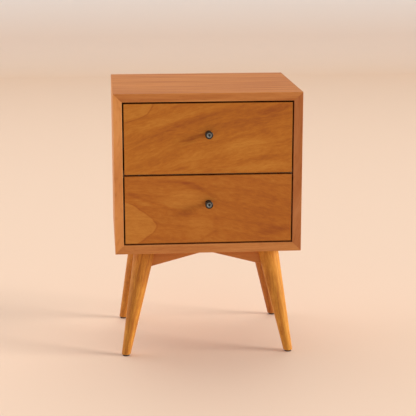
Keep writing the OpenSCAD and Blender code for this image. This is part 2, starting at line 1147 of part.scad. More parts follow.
module upper_slide_screws() {
    drawer_slide_screws(upper_z, upper_front_h);
}

module lower_drawer_front() {
    drawer_front(lower_z, lower_front_h, lower_knob_z);
}

module lower_box_front() {
    box_front(lower_z, lower_front_h, lower_knob_z);
}

module lower_box_left_side() {
    box_left_side(lower_z, lower_front_h);
}

module lower_box_right_side() {
    box_right_side(lower_z, lower_front_h);
}

module lower_box_back() {
    box_back(lower_z, lower_front_h);
}

module lower_box_bottom() {
    box_bottom(lower_z, lower_front_h);
}

module lower_knob() {
    knob(lower_knob_z);
}

module lower_knob_screw() {
    knob_screw(lower_knob_z);
}

module lower_front_screws() {
    front_screws(lower_z, lower_front_h);
}

module lower_left_drawer_member() {
    drawer_member(lower_z, lower_front_h);
}

module lower_right_drawer_member() {
    mirror([1, 0, 0])
        drawer_member(lower_z, lower_front_h);
}

module lower_slide_screws() {
    drawer_slide_screws(lower_z, lower_front_h);
}

// ---------------------------------------------------------------- parts

top_panel();
bottom_panel();
left_side_panel();
right_side_panel();
back_panel();
mitre_splines();
divider_rail();
rail_dowels();
drawer_bumpers();
back_screws();
front_apron();
rear_apron();
left_apron();
right_apron();
front_left_leg();
front_right_leg();
rear_left_leg();
rear_right_leg();
glides();
corner_blocks();
apron_dowels();
block_screws();
upper_left_cabinet_member();
upper_right_cabinet_member();
lower_left_cabinet_member();
lower_right_cabinet_member();
cabinet_slide_screws();
upper_left_middle_member();
upper_right_middle_member();
lower_left_middle_member();
lower_right_middle_member();
upper_outer_ball_cages();
upper_inner_ball_cages();
lower_outer_ball_cages();
lower_inner_ball_cages();
upper_drawer_front();
upper_box_front();
upper_box_left_side();
upper_box_right_side();
upper_box_back();
upper_box_bottom();
upper_knob();
upper_knob_screw();
upper_front_screws();
upper_left_drawer_member();
upper_right_drawer_member();
upper_slide_screws();
lower_drawer_front();
lower_box_front();
lower_box_left_side();
lower_box_right_side();
lower_box_back();
lower_box_bottom();
lower_knob();
lower_knob_screw();
lower_front_screws();
lower_left_drawer_member();
lower_right_drawer_member();
lower_slide_screws();
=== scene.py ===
# %% [markdown]
# # A nightstand with two drawers
#
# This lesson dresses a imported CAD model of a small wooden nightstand: a mitred case
# with two drawers, on an apron frame with four round, splayed legs. The CAD parts say
# where everything is. Here each part that shows gets eased edges, real wood grain,
# metal that has been turned, and a place in soft studio light.
#
# Work through the cells from top to bottom. Lengths are metres, +Z is up, and the
# drawers face -Y.

# %% Load the CAD model as a fixed frame
from contextlib import contextmanager
from math import atan2, cos, hypot, pi, radians, sin

import bmesh
import bpy
from mathutils import Matrix, Vector


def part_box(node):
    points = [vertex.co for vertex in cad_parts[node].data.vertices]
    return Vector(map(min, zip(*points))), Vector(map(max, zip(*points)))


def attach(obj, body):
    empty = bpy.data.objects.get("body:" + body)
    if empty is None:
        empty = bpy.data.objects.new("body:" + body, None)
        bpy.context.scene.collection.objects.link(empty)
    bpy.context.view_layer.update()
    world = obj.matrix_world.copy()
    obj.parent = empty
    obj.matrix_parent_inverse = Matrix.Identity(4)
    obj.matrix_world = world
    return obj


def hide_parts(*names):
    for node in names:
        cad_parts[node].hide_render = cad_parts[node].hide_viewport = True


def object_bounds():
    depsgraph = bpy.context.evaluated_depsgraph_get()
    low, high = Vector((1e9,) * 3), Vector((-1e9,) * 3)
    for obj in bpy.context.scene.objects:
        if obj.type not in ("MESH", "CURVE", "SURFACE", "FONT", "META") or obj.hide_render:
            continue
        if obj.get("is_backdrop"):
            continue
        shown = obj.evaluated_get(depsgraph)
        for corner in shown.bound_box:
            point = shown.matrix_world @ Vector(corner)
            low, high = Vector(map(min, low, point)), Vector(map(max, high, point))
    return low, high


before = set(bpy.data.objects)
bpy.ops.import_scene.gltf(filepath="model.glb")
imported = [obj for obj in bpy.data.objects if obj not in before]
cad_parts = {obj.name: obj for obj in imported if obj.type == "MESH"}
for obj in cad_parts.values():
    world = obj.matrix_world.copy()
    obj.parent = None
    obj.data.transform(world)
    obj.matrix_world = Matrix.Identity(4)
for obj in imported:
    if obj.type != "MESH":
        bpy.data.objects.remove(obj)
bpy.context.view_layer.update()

# %% [markdown]
# ## Where things are
#
# A maker reads sizes from the drawing once and works from them. If the CAD changes,
# this follows.

# %% Read the main sizes
MM = 0.001
top_low, top_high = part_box("top_panel")
case_low = Vector((top_low.x, top_low.y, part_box("bottom_panel")[0].z))
case_high = top_high.copy()
case_mid = (case_low + case_high) / 2
print("case:", [round(v, 4) for v in case_high - case_low])

# %% [markdown]
# ## Camera
#
# The nightstand is seen from the front, a little from its left and from above, through
# a long lens, so that its upright lines stay almost parallel. A camera can be aimed by a
# constraint, but one that is written down gives the same picture each time: its place is
# measured from the middle of the case front, at its foot, and two angles turn it.

# %% Place the camera
STAND_LEFT, STAND_BACK, STAND_OVER = 0.2625, 3.0047, 0.816
LOOK_DOWN, LOOK_RIGHT = 13.13, 4.96     # degrees
view = bpy.data.cameras.new("view")
view.sensor_width, view.lens = 36, 110.0     # millimetres
camera = bpy.data.objects.new("camera", view)
camera.location = (case_mid.x - STAND_LEFT, case_low.y - STAND_BACK, case_low.z + STAND_OVER)
camera.rotation_euler = (radians(90 - LOOK_DOWN), 0, radians(-LOOK_RIGHT))
bpy.context.scene.collection.objects.link(camera)
bpy.context.scene.camera = camera
print("camera at", [round(v, 3) for v in camera.location])

# %% [markdown]
# ## Floor and backdrop
#
# In a studio, furniture stands on a plain sweep: a pale floor that turns up into a pale
# wall, with no corner to catch the eye. It could be a curve with a width. A plane is
# quicker: its far edge is pulled up into a wall, and the fold is rounded. Only the far
# side has a wall, so from the sides and the back the edge of the floor shows as a line.
#
# An operator acts on whatever is selected, so each helper first selects exactly one
# object. Faces and edges are picked by where they lie, because there is no mouse here.

# %% Select one piece, or work inside it
def only(piece):
    """Makes a piece the one selected and active object."""
    bpy.ops.object.select_all(action="DESELECT")
    piece.select_set(True)
    bpy.context.view_layer.objects.active = piece


@contextmanager
def inside(piece, mode="FACE"):
    """Edit mode on a piece, with nothing selected."""
    only(piece)
    bpy.ops.object.mode_set(mode="EDIT")
    bpy.ops.mesh.select_mode(type=mode)
    bpy.ops.mesh.select_all(action="DESELECT")
    yield
    bpy.ops.object.mode_set(mode="OBJECT")

# %% Pick faces, edges or corners
def pick(piece, kind, test):
    """In edit mode, selects the faces, edges or verts that pass a test."""
    shape = bmesh.from_edit_mesh(piece.data)
    for part in getattr(shape, kind):
        if test(part):
            part.select_set(True)
    bmesh.update_edit_mesh(piece.data)


def middle_of(part):
    """The middle of an edge or face."""
    return sum((v.co for v in part.verts), Vector()) / len(part.verts)

# %% Keep a piece's place in its mesh
def settle(piece, name):
    """Names a new primitive and moves its place and size into its mesh."""
    piece.name = piece.data.name = name
    only(piece)
    bpy.ops.object.transform_apply(location=True, rotation=True, scale=True)
    return piece

# %% Build the sweep
FLOOR_REACH, FLOOR_FRONT, WALL_Y, WALL_H, SWEEP_R = 6.0, 5.0, 5.6, 4.0, 0.25
bpy.ops.object.select_all(action="DESELECT")
bpy.ops.mesh.primitive_plane_add(size=1, location=(0, (WALL_Y - FLOOR_FRONT) / 2, 0))
sweep = bpy.context.object
sweep.scale = (2 * FLOOR_REACH, WALL_Y + FLOOR_FRONT, 1)
settle(sweep, "studio_sweep")
with inside(sweep, "EDGE"):
    pick(sweep, "edges", lambda e: middle_of(e).y > WALL_Y - MM)     # the far edge
    bpy.ops.mesh.extrude_region_move(TRANSFORM_OT_translate={"value": (0, 0, WALL_H)})
with inside(sweep, "EDGE"):
    pick(sweep, "edges", lambda e: len(e.link_faces) == 2)     # the fold
    bpy.ops.mesh.bevel(offset=SWEEP_R, segments=12, affect="EDGES")
only(sweep)
bpy.ops.object.shade_smooth()
sweep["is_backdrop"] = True
print("sweep:", len(sweep.data.polygons), "faces")

# %% [markdown]
# ## Finishes from nodes
#
# A finish could be a picture wrapped round each piece, but that blurs close up and shows
# a seam. Nodes describe it by rule instead, at any size. The helpers here add a node, set
# its values and join it to others in one line, so that a finish reads like a recipe.

# %% Colours as they are written on a screen
def tone(red, green, blue):
    """A screen colour, 0 to 255, as the linear colour that the shaders use."""
    def linear(c):
        c /= 255
        return c / 12.92 if c <= 0.04045 else ((c + 0.055) / 1.055) ** 2.4
    return (linear(red), linear(green), linear(blue), 1)

# %% Add nodes to a finish
def add(finish, kind, values=(), **settings):
    """Adds a shader node. A value is a number, a colour or another node's socket."""
    new = finish.node_tree.nodes.new("ShaderNode" + kind)
    for key, value in settings.items():
        setattr(new, key, value)
    for key, value in dict(values).items():
        if isinstance(value, bpy.types.NodeSocket):
            finish.node_tree.links.new(value, new.inputs[key])
        else:
            new.inputs[key].default_value = value
    return new


def calc(finish, operation, first, second=0.5, clamp=False):
    """A Math node's result."""
    return add(finish, "Math", {0: first, 1: second}, operation=operation, use_clamp=clamp).outputs[0]


def blend(finish, share, first, second):
    """Mixes two colours by a share."""
    return add(finish, "Mix", {0: share, 6: first, 7: second}, data_type="RGBA").outputs[2]


def ramp(finish, share, *stops):
    """A colour ramp through (place, colour) stops."""
    band = add(finish, "ValToRGB", {0: share})
    points = band.color_ramp.elements
    while len(points) < len(stops):
        points.new(0.5)
    for point, (place, colour) in zip(points, stops):
        point.position, point.color = place, colour
    return band.outputs[0]


def grey(value):
    """A plain grey, 0 black to 1 white."""
    return (value, value, value, 1)

# %% Start a finish, and join it to its shader
def new_finish(name):
    """An empty material and its main shader."""
    finish = bpy.data.materials.new(name)
    finish.use_nodes = True
    return finish, finish.node_tree.nodes["Principled BSDF"]


def lay_on(finish, shader, colour, skin, rough, uneven, height, strength, depth):
    """Joins a colour to the shader, a roughness that a skin pattern makes uneven, and a relief
    of some depth."""
    links = finish.node_tree.links
    links.new(colour, shader.inputs["Base Color"])
    links.new(calc(finish, "ADD", calc(finish, "MULTIPLY", skin, uneven), rough - uneven / 2),
              shader.inputs["Roughness"])
    relief = add(finish, "Bump", {"Height": height, "Strength": strength, "Distance": depth})
    links.new(relief.outputs[0], shader.inputs["Normal"])

# %% Paint the sweep
TURN_H = 0.5     # the paper is as pale as the wall from here up
plain, shader = new_finish("studio_paper")
where = add(plain, "TexCoord").outputs["Object"]
height = add(plain, "SeparateXYZ", {0: where}).outputs[2]
wall_share = calc(plain, "MULTIPLY", height, 1 / TURN_H, clamp=True)
paper = blend(plain, wall_share, tone(238, 210, 184), tone(248, 243, 238))
plain.node_tree.links.new(paper, shader.inputs["Base Color"])
shader.inputs["Roughness"].default_value = 0.8
sweep.data.materials.append(plain)
print("floor finish:", plain.name)

# %% [markdown]
# ## Light
#
# Area lamps are the usual studio light, but they fade with distance, so an open drawer
# would be brighter than the case behind it. Distant lamps with a wide disc are as soft
# and light everything alike. A warm key, low on the right, shapes the legs and the
# sloping frame. One high behind lies on the top, and a weaker one on the left opens the
# far flanks. An even sky fills the rest. The levels are kept where a colour seen from
# the front looks about as it is written. The price of a low key is glare: seen from the
# left, against it, the paper and the far end of the top shine almost white.

# %% Hang the lamps
LAMP_REACH = 4     # metres, out of the way: a distant lamp lights alike from anywhere


def lamp(name, azimuth, elevation, softness, level, colour):
    """A distant soft lamp. Azimuth 0 is straight in front and 90 on the right. A white sheet
    that faces the lamp looks as bright as the level says, where 1 is white."""
    way = Vector((
        sin(radians(azimuth)) * cos(radians(elevation)),
        -cos(radians(azimuth)) * cos(radians(elevation)),
        sin(radians(elevation)),
    ))
    light = bpy.data.lights.new(name, "SUN")
    light.angle, light.energy, light.color = radians(softness), level * pi, colour
    holder = bpy.data.objects.new(name, light)
    holder.location = way * LAMP_REACH
    holder.rotation_euler = (-way).to_track_quat("-Z", "Y").to_euler()
    bpy.context.scene.collection.objects.link(holder)
    print(name, "level", level, "from", [round(v, 2) for v in way])


lamp("key", 76, 15, 24, 0.95, (1.0, 0.975, 0.93))
lamp("behind", 180, 62, 60, 0.33, (1.0, 0.97, 0.92))
lamp("fill", -105, 10, 60, 0.5, (1.0, 0.965, 1.07))

# %% Fill in with an even sky
# The camera and mirror-like surfaces see paper. Everything else is lit by the air.
sky = bpy.data.worlds.new("studio_air")
bpy.context.scene.world = sky
sky.use_nodes = True
nodes = sky.node_tree.nodes
air = nodes["Background"]
air.inputs[0].default_value, air.inputs[1].default_value = (0.98, 1.0, 1.07, 1), 0.415
far_paper = add(sky, "Background", {0: tone(250, 225, 203)})
ray = add(sky, "LightPath").outputs
seen = calc(sky, "MAXIMUM", ray["Is Camera Ray"], ray["Is Glossy Ray"])
seen = calc(sky, "MAXIMUM", seen, ray["Is Transmission Ray"])
swap = add(sky, "MixShader", {0: seen, 1: air.outputs[0], 2: far_paper.outputs[0]})
sky.node_tree.links.new(swap.outputs[0], nodes["World Output"].inputs["Surface"])
bpy.context.scene.view_settings.view_transform = "Standard"
print("air level:", round(air.inputs[1].default_value, 3))

# %% [markdown]
# ## Wood
#
# A board shows the rings of the tree that it was cut from. Sawn near the middle of the
# log, the rings make long arches; sawn square to them, they make straight lines. Instead
# of painting arches, the finish describes the tree: each point of the board is measured
# from the heart of the log, in units of one ring, and the ring that it lies in gives its
# colour. The same recipe then makes a figured drawer front, a straight-grained panel or
# a turned leg, by moving the heart and stretching the rings.
#
# More layers are laid over the rings: slow changes of tone over a hand's width, streaks
# of fibre that follow the rings, dark pores between them, and a trace of wear where an
# edge has been handled. A veneer that was chosen for its figure also has soft marks, pale
# flames and dark streaks, each laid down where it lies; one dark streak on the upper front
# is a painted shadow of its pull. The lacquer on top is satin.

# %% Lay marks over the rings
def lay_marks(finish, where, marks):
    """The sum of soft lens-shaped marks. A mark is its middle (x, z), its half length and half
    height in millimetres, its slope in degrees, how dark it is (pale below 0) and how soft its
    rim is."""
    through = 100     # a mark goes right through the board
    pointed = 1.5     # 2 would be an oval, 1 a diamond
    waves, wave_reach = (9, 9, 26), (26 * MM, 0, 16 * MM)     # of the rim: per metre, and how far
    ragged = add(finish, "Mapping", {"Vector": where, "Scale": waves}).outputs[0]
    ragged = add(finish, "TexNoise", {"Vector": ragged, "Scale": 1.0, "Detail": 3.0}).outputs["Color"]
    ragged = add(finish, "VectorMath", {0: ragged, 1: (0.5, 0.5, 0.5)}, operation="SUBTRACT")
    ragged = add(finish, "VectorMath", {0: ragged.outputs[0], 1: wave_reach},
                 operation="MULTIPLY").outputs[0]
    bent = add(finish, "VectorMath", {0: where, 1: ragged}).outputs[0]
    total = 0.0
    for x, z, half_length, half_height, slope, dark, soft in marks:
        oval = add(
            finish, "Mapping",
            {"Vector": bent, "Location": (x, 0, z), "Rotation": (0, -radians(slope), 0),
             "Scale": (half_length * MM, through, half_height * MM)},
            vector_type="TEXTURE",
        ).outputs[0]
        reach = add(finish, "VectorMath", {0: oval}, operation="ABSOLUTE").outputs[0]
        reach = add(finish, "VectorMath", {0: reach, 1: (pointed, 1, pointed)}, operation="POWER")
        reach = add(finish, "VectorMath", {0: reach.outputs[0], 1: (1, 0, 1)},
                    operation="DOT_PRODUCT").outputs["Value"]
        reach = calc(finish, "POWER", reach, 1 / pointed)
        share = add(
            finish, "MapRange", {0: reach, 1: 1 + soft, 2: 1 - soft, 3: 0.0, 4: dark},
            interpolation_type="SMOOTHSTEP",
        ).outputs[0]
        total = calc(finish, "ADD", share, total)
    return total

# %% Grow the rings of a tree
def rings(finish, where, heart, turn, reach, drawn_out, wander):
    """Measures each point from the heart of the log. Gives the point in units of one ring,
    its distance from the heart, and how dark the ring is there: pale early in the year,
    dark late in it."""
    placed = add(
        finish, "Mapping", {"Vector": where, "Location": heart, "Rotation": turn, "Scale": reach},
        vector_type="TEXTURE",
    ).outputs[0]
    calm = add(finish, "VectorMath", {0: placed, 1: drawn_out}, operation="MULTIPLY").outputs[0]
    bend = add(finish, "TexNoise", {"Vector": calm, "Scale": 0.9, "Detail": 2.0}).outputs["Color"]
    bend = add(finish, "VectorMath", {0: bend, 1: (0.5, 0.5, 0.5)}, operation="SUBTRACT").outputs[0]
    bend = add(finish, "VectorMath", {0: bend, "Scale": 2 * wander}, operation="SCALE").outputs[0]
    bent = add(finish, "VectorMath", {0: placed, 1: bend}).outputs[0]
    from_heart = add(finish, "VectorMath", {0: bent}, operation="LENGTH").outputs["Value"]
    ring = calc(finish, "FRACT", from_heart)
    grown = ramp(finish, ring, (0.0, grey(0)), (0.45, grey(0.25)), (0.88, grey(1)), (1.0, grey(0)))
    return placed, from_heart, grown

# %% Draw the fibres and pores
def threads(finish, placed, from_heart, grain, fibres, across):
    """Streaks that run along the grain, and the pores between them."""
    finer = (11, 12, 1)     # how many times finer the pores are: outwards, along and sideways
    spot = add(finish, "SeparateXYZ", {0: placed})
    thread = add(finish, "CombineXYZ", {
        0: calc(finish, "MULTIPLY", from_heart, fibres[0]),
        1: calc(finish, "MULTIPLY", spot.outputs[grain], fibres[1]),
        2: calc(finish, "MULTIPLY", spot.outputs[(grain + 1) % 3], across),
    }).outputs[0]
    fibre = add(finish, "TexNoise", {"Vector": thread, "Scale": 1.0, "Detail": 6.0, "Roughness": 0.68})
    fibre = fibre.outputs["Fac"]
    pore = add(finish, "VectorMath", {0: thread, 1: finer}, operation="MULTIPLY").outputs[0]
    pore = add(finish, "TexNoise", {"Vector": pore, "Scale": 1.0, "Detail": 2.0}).outputs["Fac"]
    pore = ramp(finish, pore, (0.55, grey(0)), (0.72, grey(1)))
    return fibre, pore

# %% Cut a board from the tree
def wood(name, tones, heart, reach, grain, turn=(0, 0, 0), wander=0.35, drawn_out=(1, 1, 1),
         figure=0.15, fibres=(5, 0.35), across=1.0, fibre_share=0.3, cloud=4.0, cloud_share=0.3,
         marks=(), rough=0.52, coat=0.03):
    """Stained wood. Tones are light, middle and dark. The heart is a point, the reach is how
    far one ring extends along each axis, grain is the axis that the fibres run along (0 for x,
    1 for y, 2 for z) and turn leans them. The rings wander by a share of their width, slower
    where they are drawn out. Figure is how dark they are. Fibres are counted per ring, outwards
    and along, and across spreads them sideways. Cloud is how many changes of tone a metre
    holds. A share is how much a layer counts for."""
    light, middle, dark = tones
    finish, shader = new_finish(name)
    where = add(finish, "TexCoord").outputs["Object"]
    placed, from_heart, grown = rings(finish, where, heart, turn, reach, drawn_out, wander)
    fibre, pore = threads(finish, placed, from_heart, grain, fibres, across)
    drift = add(finish, "TexNoise", {"Vector": where, "Scale": cloud, "Detail": 1.5}).outputs["Fac"]

    # Each layer is counted from its own average, so that it doesn't shift the whole tone.
    depth = calc(finish, "ADD", lay_marks(finish, where, marks), 0.5)
    for layer, average, share in (
            (grown, 0.4, figure), (fibre, 0.5, 2 * fibre_share), (drift, 0.5, 2 * cloud_share),
            (pore, 0.12, 0.22)):
        above = calc(finish, "SUBTRACT", layer, average)
        depth = calc(finish, "ADD", depth, calc(finish, "MULTIPLY", above, share))
    depth = calc(finish, "ADD", depth, 0.0, clamp=True)
    colour = ramp(finish, depth, (0.0, light), (0.5, middle), (1.0, dark))

    worn = add(finish, "Attribute", attribute_name="edge").outputs["Fac"]
    rub = add(finish, "TexNoise", {"Vector": where, "Scale": 90.0, "Detail": 2.0}).outputs["Fac"]
    worn = calc(finish, "MULTIPLY", worn, calc(finish, "MULTIPLY", rub, 0.7), clamp=True)
    colour = blend(finish, worn, colour, light)
    grooves = calc(finish, "SUBTRACT", fibre, calc(finish, "MULTIPLY", pore, 0.5))
    lay_on(finish, shader, colour, fibre, rough, uneven=0.16, height=grooves, strength=0.15,
           depth=0.2 * MM)
    shader.inputs["Specular IOR Level"].default_value = 0.12
    shader.inputs["Coat Weight"].default_value = coat
    shader.inputs["Coat Roughness"].default_value = 0.25
    print("wood:", name)
    return finish

# %% [markdown]
# ### The woods of this nightstand
#
# The case is straight grained and runs round it like a ribbon, across the top and down
# the sides. Its boards differ in tone as painted light: the left side paler and the right
# side darker, the top deeper and its front edge paler, as the lamps fall on them. The two
# drawer fronts are the show pieces: crown-cut veneer, its arches lying on their sides. The
# legs are turned from solid sticks, so their grain runs down them; the rear right one is
# darker, a painted shade. The boxes inside are plain pale wood that nobody stained. One
# material for all would be shorter, but each log grew differently.

# %% Cut the case boards
case_tones = (tone(216, 150, 88), tone(195, 125, 66), tone(168, 95, 46))
# The top is given deeper tones than the case, while its front edge gets the paler case finish: painted
# light, since the top and its front edge lie differently to the lamps.
top_tones = (tone(200, 127, 53), tone(180, 106, 35), tone(154, 79, 23))
# The left side's tones are paler and the right side's darker than the case's: painted light, for the
# left stile faces the key lamp and the right one faces away.
left_painted_light_tones = (tone(221, 157, 94), tone(201, 132, 71), tone(173, 101, 50))
right_painted_shade_tones = (tone(210, 140, 85), tone(190, 116, 63), tone(163, 88, 45))
long_cut = dict(grain=0, fibres=(5, 4))
side_cut = dict(grain=2, wander=0.9, figure=0.1, fibres=(7, 4), fibre_share=0.7)
top_wood = wood("top_veneer", top_tones, (0.3, 2.2, 0.5), (1.0, 0.035, 0.4), fibre_share=1.25,
                **long_cut)
rail_wood = wood("rail_veneer", case_tones, (0.1, 2.0, -1.4), (1.0, 0.035, 0.035), fibre_share=1.0,
                 **long_cut)
left_wood = wood("left_veneer", left_painted_light_tones, (0.9, 2.1, 0.7), (0.3, 0.045, 1.0), **side_cut)
right_wood = wood("right_veneer", right_painted_shade_tones, (0.4, 2.1, 0.2), (0.3, 0.045, 1.0), **side_cut)

# %% Choose the figure of the drawer fronts
upper_tones = (tone(203, 135, 54), tone(185, 111, 38), tone(158, 85, 33))
lower_tones = (tone(199, 130, 54), tone(181, 106, 38), tone(155, 81, 33))
upper_low, upper_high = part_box("upper_drawer_front")
lower_low, lower_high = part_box("lower_drawer_front")


def seen_from(left, top, marks):
    """Marks written in millimetres from a front's upper left corner, as places."""
    return [(left + x * MM, top - down * MM, *rest) for x, down, *rest in marks]


upper_marks = seen_from(upper_low.x, upper_high.z, (
    (-4, -31, 83, 94, -42, 0.3, 0.02), (-4, -31, 80, 91, -42, -0.5, 0.02),
    (139, 56, 135, 15, 19, 0.22, 0.7), (130, 58, 100, 3, 19, 0.16, 0.6),
    # The dark streak at (166, 85), left of and below the pull, is a painted shadow of the pull.
    (100, 43, 90, 12, 17, -0.16, 0.6), (166, 85, 31, 4, 15, 0.33, 0.6),
    (294, 109, 58, 21, 8, -0.3, 0.6), (374, 16, 48, 11, 14, 0.3, 0.6),
    (299, 41, 110, 27, 10, 0.2, 0.6), (335, 133, 58, 4, 6.5, 0.22, 0.6),
    (325, 155, 80, 11, 4, -0.22, 0.6), (168, 137, 45, 16, 15, -0.16, 0.6),
    (88, 140, 55, 10, 15, 0.14, 0.6), (132, 158, 24, 3.5, 12, 0.16, 0.6),
))
lower_marks = seen_from(lower_low.x, lower_high.z, (
    (-115, 126, 197, 93, 1, 0.28, 0.015), (-115, 126, 194, 90, 1, -0.62, 0.015),
    (145, 60, 50, 24, 0, -0.28, 0.6), (116, 13, 48, 4, -5, 0.2, 0.6),
    (160, 24, 30, 7, -25, 0.28, 0.6), (201, 44, 30, 6, -27, 0.18, 0.6),
    (147, 96, 30, 9, 8, 0.14, 0.6), (24, 45.5, 18, 5, -15, 0.22, 0.6),
    (67, 66, 42, 4, -20, 0.18, 0.6), (49, 65, 30, 7, -15, -0.18, 0.6),
    (222, 124, 7, 26, 0, 0.12, 0.6), (205, 150, 18, 4, 30, 0.16, 0.6),
    (183, 127, 35, 25, 0, -0.18, 0.6), (273, 50, 6, 28, 0, 0.1, 0.6),
    (369, 140, 48, 10, 10, 0.26, 0.6), (338, 93, 80, 60, 0, 0.14, 0.7),
    (322, 76, 45, 4.5, 0, -0.14, 0.6), (364, 62, 8, 6, 0, 0.16, 0.6),
))
print("marks:", len(upper_marks), "above,", len(lower_marks), "below")

# %% Cut the drawer fronts
front_cut = dict(grain=0, drawn_out=(0.2, 1, 1), wander=0.4, fibres=(8, 1.8), cloud=9,
                 cloud_share=0.1)
upper_wood = wood("upper_front_veneer", upper_tones,
                  (upper_low.x + 0.68, 0, upper_high.z - 2.1), (0.035, 1, 0.035),
                  fibre_share=0.58, marks=upper_marks, **front_cut)
lower_wood = wood("lower_front_veneer", lower_tones,
                  (lower_low.x - 0.1, 0, lower_high.z - 2.1), (0.035, 1, 0.035),
                  fibre_share=0.55, marks=lower_marks, **front_cut)

# %% Cut the legs and aprons
leg_tones = {
    "front_left": (tone(218, 152, 63), tone(192, 124, 48), tone(162, 95, 39)),
    "front_right": (tone(228, 164, 72), tone(207, 139, 55), tone(178, 108, 45)),
    "rear_left": (tone(218, 150, 64), tone(194, 123, 50), tone(162, 92, 40)),
    # The rear right leg's tones are darker, a painted shade: they stand for the shade that the front
    # leg and the case cast on it.
    "rear_right": (tone(200, 132, 63), tone(176, 106, 48), tone(148, 81, 38)),
}
apron_tones = (tone(220, 150, 84), tone(203, 130, 67), tone(174, 102, 50))
apron_cut = dict(wander=0.5, fibres=(5, 4), cloud=6)
long_apron_wood = wood("long_apron_wood", apron_tones, (0.2, 1.4, -0.8), (1.2, 0.03, 0.02), grain=0,
                       **apron_cut)
side_apron_wood = wood("side_apron_wood", apron_tones, (1.3, 0.2, -0.8), (0.03, 1.2, 0.02), grain=1,
                       **apron_cut)

# %% Cut the inside boards and the back
pale_tones = (tone(218, 196, 158), tone(206, 179, 137), tone(184, 150, 107))
box_cut = dict(figure=0.25, fibres=(5, 4), cloud=6, rough=0.55)
box_side_wood = wood("box_side_wood", pale_tones, (1.2, 0.3, 0.3), (0.02, 1.4, 0.025), grain=1,
                     **box_cut)
box_end_wood = wood("box_end_wood", pale_tones, (0.3, 1.2, 0.3), (1.4, 0.02, 0.025), grain=0,
                    **box_cut)
bottom_wood = wood("box_bottom_wood", pale_tones, (0.3, -1.5, 0.3), (1.4, 0.05, 0.02), grain=0,
                   figure=0.25, fibres=(6, 4), cloud=6, rough=0.6, coat=0.02)
back_wood = wood("back_board_wood", case_tones, (1.2, 0.3, 0.3), (0.07, 0.5, 0.8), grain=2,
                 wander=1.1, figure=0.1, fibres=(11, 4), fibre_share=0.45, cloud=5, rough=0.58,
                 coat=0.02)

# %% [markdown]
# ## Metal, plastic and rubber
#
# Metal is mostly reflection, so its colour says little and its surface says much. It
# could be one grey with a low roughness, but then it looks like a toy. The pulls are dark
# and were turned on a lathe. The paler ring round their cup is a painted reflection: it
# stands for the bright ring that the dish catches from the light. The slides are rolled
# steel, drawn lengthwise, with a black and slightly blotched zinc coat, and the screws are
# plain bright zinc. The glides and bumpers have the fine, uneven skin that a mould leaves.

# %% Mix the metals
def metal(name, colour, shade, rough, scratch, dish_glint=None):
    """A metal with blotches from shade to colour. Scratch is how many fine lines a metre holds
    along each axis. Where the piece is marked dish_glint, it shows that colour instead: a painted
    reflection."""
    finish, shader = new_finish(name)
    where = add(finish, "TexCoord").outputs["Object"]
    blotch = add(finish, "TexNoise", {"Vector": where, "Scale": 60.0, "Detail": 3.0}).outputs["Fac"]
    drawn = add(finish, "Mapping", {"Vector": where, "Scale": scratch}).outputs[0]
    line = add(finish, "TexNoise", {"Vector": drawn, "Scale": 1.0, "Detail": 3.0}).outputs["Fac"]
    surface = blend(finish, blotch, colour, shade)
    if dish_glint:
        glint_share = add(finish, "Attribute", attribute_name="dish_glint").outputs["Fac"]
        surface = blend(finish, glint_share, surface, dish_glint)
    lay_on(finish, shader, surface, line, rough, uneven=0.2, height=line, strength=0.05,
           depth=0.05 * MM)
    shader.inputs["Metallic"].default_value = 1.0
    print("metal:", name)
    return finish


# The paler bluish colour of the pulls is a painted reflection in the ring of their dish.
pull_metal = metal("pull_metal", tone(62, 61, 58), tone(47, 48, 48), 0.34, (300, 300, 300),
                   dish_glint=tone(116, 125, 131))
slide_metal = metal("slide_zinc", tone(92, 94, 98), tone(70, 72, 76), 0.4, (1200, 25, 1200))
screw_metal = metal("screw_zinc", tone(196, 192, 178), tone(160, 156, 142), 0.35, (900, 900, 900))

# %% Mix the plastic and rubber
def moulded(name, colour, shade, rough, see_through=0.0):
    """A moulded plastic or rubber with a fine, uneven skin."""
    finish, shader = new_finish(name)
    where = add(finish, "TexCoord").outputs["Object"]
    skin = add(finish, "TexNoise", {"Vector": where, "Scale": 700.0, "Detail": 2.0}).outputs["Fac"]
    patch = add(finish, "TexNoise", {"Vector": where, "Scale": 80.0, "Detail": 2.0}).outputs["Fac"]
    surface = blend(finish, patch, colour, shade)
    lay_on(finish, shader, surface, skin, rough, uneven=0.15, height=skin, strength=0.1,
           depth=0.05 * MM)
    shader.inputs["Transmission Weight"].default_value = see_through
    print("moulded:", name)
    return finish


glide_plastic = moulded("glide_plastic", tone(48, 36, 30), tone(30, 22, 18), 0.505)
clear_rubber = moulded("clear_rubber", tone(222, 224, 220), tone(206, 208, 204), 0.355, 0.4)

# %% [markdown]
# ## The case
#
# Four boards meet in mitres, so that the grain seems to run round the corners and no end
# grain shows. Their front edges slope back a little towards the opening, which makes the
# frame look finer than the boards are. The case could be one box, hollowed, but then the
# mitres would be missing. Here each board is one cube, a little too long and too deep:
# two saw cuts make the mitres and one the slope, a rebate takes the back panel, and the
# edges are eased. The front edge of the top board gets the finish of the bottom one, paler
# than the top's own, as painted light, so that the frame round the drawers matches above
# and below.

# %% Start a board, saw it, or carve it with another
def block(name, low, high):
    """A cube stretched between two corners."""
    bpy.ops.object.select_all(action="DESELECT")
    low, high = Vector(low), Vector(high)
    bpy.ops.mesh.primitive_cube_add(size=1, location=(low + high) / 2, scale=high - low)
    return settle(bpy.context.object, name)


def saw(piece, point, normal):
    """Cuts along a plane and throws away the side that the normal points to."""
    with inside(piece):
        bpy.ops.mesh.select_all(action="SELECT")
        bpy.ops.mesh.bisect(plane_co=point, plane_no=normal, use_fill=True, clear_outer=True)


